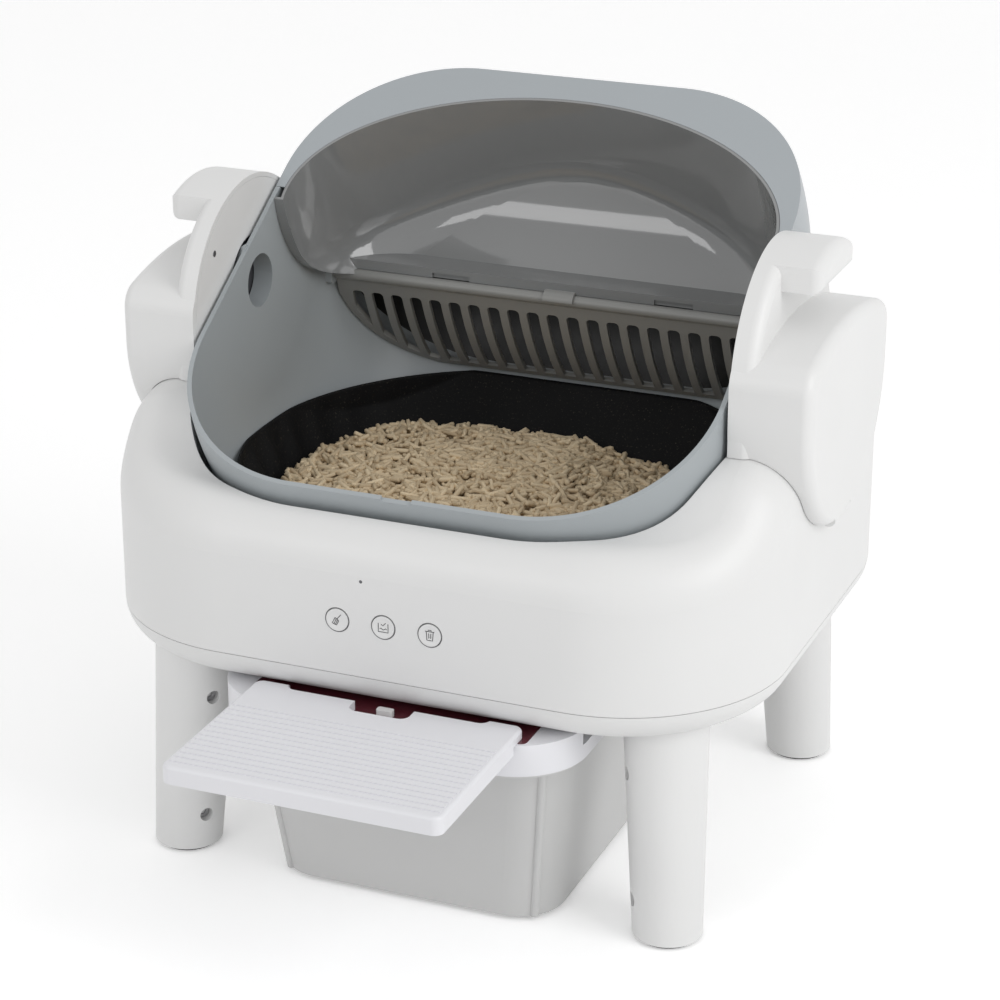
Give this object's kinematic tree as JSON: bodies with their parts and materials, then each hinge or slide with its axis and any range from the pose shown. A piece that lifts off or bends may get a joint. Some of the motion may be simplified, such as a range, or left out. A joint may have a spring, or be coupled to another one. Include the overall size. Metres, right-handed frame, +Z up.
{
  "type": "self-cleaning litter box",
  "caption": "Self-cleaning litter box: an open drum with a rear hood and sieve grate turns between two hinged side arms over a pull-out waste drawer with a step.",
  "frame": {"origin": "on the floor, in the middle of the footprint from the step's front edge to the back wall", "axes": "+X to the right seen from the front, +Y to the back along the longest extent, +Z up"},
  "size_m": [0.6052, 0.662, 0.6072],
  "materials": {
    "body_white": "fine satin moulding",
    "button_white": "satin cap",
    "steel": "plain zinc steel",
    "pad_rubber": "soft foot pad",
    "board_green": "coated circuit board",
    "black_plastic": "black moulding",
    "light_lens": "clear lens over an unlit lamp",
    "drum_grey": "satin blue-grey",
    "hood_grey": "satin light blue-grey",
    "panel_grey": "glossy mid grey",
    "grate_grey": "satin mid grey",
    "liner_black": "soft black liner",
    "litter_tan": "pressed plant pellets",
    "plate_grey": "satin off-white",
    "gear_white": "natural acetal",
    "bush_brass": "turned bush",
    "bin_grey": "satin light grey",
    "collar_white": "satin white",
    "ring_red": "translucent dark red",
    "step_white": "satin white"
  },
  "bodies": {
    "base": {"lower_shell": "body_white", "upper_shell": "body_white", "shell_screws": "steel", "front_left_leg": "body_white", "front_right_leg": "body_white", "back_left_leg": "body_white", "back_right_leg": "body_white", "foot_pads": "pad_rubber", "leg_screws": "steel", "control_board": "board_green", "board_screws": "steel", "button_switches": "black_plastic", "indicator_light": "light_lens", "power_inlet": "black_plastic", "bin_runners": "body_white", "arm_pins": "steel"},
    "drum": {"drum_bowl": "drum_grey", "hood_shell": "hood_grey", "hood_panel": "panel_grey", "drum_liner": "liner_black", "litter_bed": "litter_tan", "grate_rod": "steel", "grate_clip": "panel_grey"},
    "grate": {"grate_panel": "grate_grey"},
    "right_arm": {"right_arm_shell": "body_white", "right_arm_plate": "plate_grey", "right_arm_screws": "steel", "drive_bush": "bush_brass", "gear_motor": "steel"},
    "left_arm": {"left_arm_shell": "body_white", "left_arm_plate": "plate_grey", "left_arm_screws": "steel", "idler_bush": "bush_brass"},
    "drive": {"drive_gear": "gear_white"},
    "pinion": {"motor_pinion": "gear_white"},
    "idler": {"idler_hub": "gear_white"},
    "clean": {"clean_button": "button_white"},
    "level": {"level_button": "button_white"},
    "empty": {"empty_button": "button_white"},
    "bin": {"waste_bin": "bin_grey", "bin_collar": "collar_white", "bag_ring": "ring_red"},
    "step": {"step_board": "step_white"},
    "latch": {"drawer_latch": "button_white"}
  },
  "joints": [
    {"name": "drum_spin", "type": "hinge", "parent": "base", "child": "drum", "pos_m": [0, 0.08, 0.45], "axis": [-1, 0, 0], "range_deg": [0, 210]},
    {"name": "grate_swing", "type": "hinge", "parent": "drum", "child": "grate", "pos_m": [0, 0.2131, 0.41999], "axis": [-1, 0, 0], "range_deg": [0, 80]},
    {"name": "right_arm_open", "type": "hinge", "parent": "base", "child": "right_arm", "pos_m": [0.2966, 0.08, 0.318], "axis": [0, 1, 0], "range_deg": [0, 60]},
    {"name": "left_arm_open", "type": "hinge", "parent": "base", "child": "left_arm", "pos_m": [-0.2966, 0.08, 0.318], "axis": [0, -1, 0], "range_deg": [0, 60]},
    {"name": "drive_spin", "type": "hinge", "parent": "right_arm", "child": "drive", "pos_m": [0.2435, 0.08, 0.45], "axis": [-1, 0, 0], "range_deg": [-5, 215]},
    {"name": "pinion_spin", "type": "hinge", "parent": "right_arm", "child": "pinion", "pos_m": [0.2435, 0.143, 0.45], "axis": [-1, 0, 0], "range_deg": [-690, 18]},
    {"name": "idler_spin", "type": "hinge", "parent": "left_arm", "child": "idler", "pos_m": [-0.2435, 0.08, 0.45], "axis": [-1, 0, 0], "range_deg": [-5, 215]},
    {"name": "clean_press", "type": "slide", "parent": "base", "child": "clean", "axis": [0, 1, 0], "range_m": [0, 0.0015], "stiffness_N_per_m": 900, "springref_m": -0.001},
    {"name": "level_press", "type": "slide", "parent": "base", "child": "level", "axis": [0, 1, 0], "range_m": [0, 0.0015], "stiffness_N_per_m": 900, "springref_m": -0.001},
    {"name": "empty_press", "type": "slide", "parent": "base", "child": "empty", "axis": [0, 1, 0], "range_m": [0, 0.0015], "stiffness_N_per_m": 900, "springref_m": -0.001},
    {"name": "bin_slide", "type": "slide", "parent": "base", "child": "bin", "axis": [0, -1, 0], "range_m": [0, 0.35]},
    {"name": "step_pull", "type": "slide", "parent": "bin", "child": "step", "axis": [0, -1, 0], "range_m": [0, 0.08]},
    {"name": "latch_press", "type": "slide", "parent": "bin", "child": "latch", "axis": [0, 0, -1], "range_m": [0, 0.003], "stiffness_N_per_m": 700, "springref_m": -0.001}
  ],
  "couplings": [
    {"joint": "drive_spin", "follows": "drum_spin", "ratio": 1},
    {"joint": "idler_spin", "follows": "drum_spin", "ratio": 1},
    {"joint": "pinion_spin", "follows": "drum_spin", "ratio": -3.2}
  ]
}
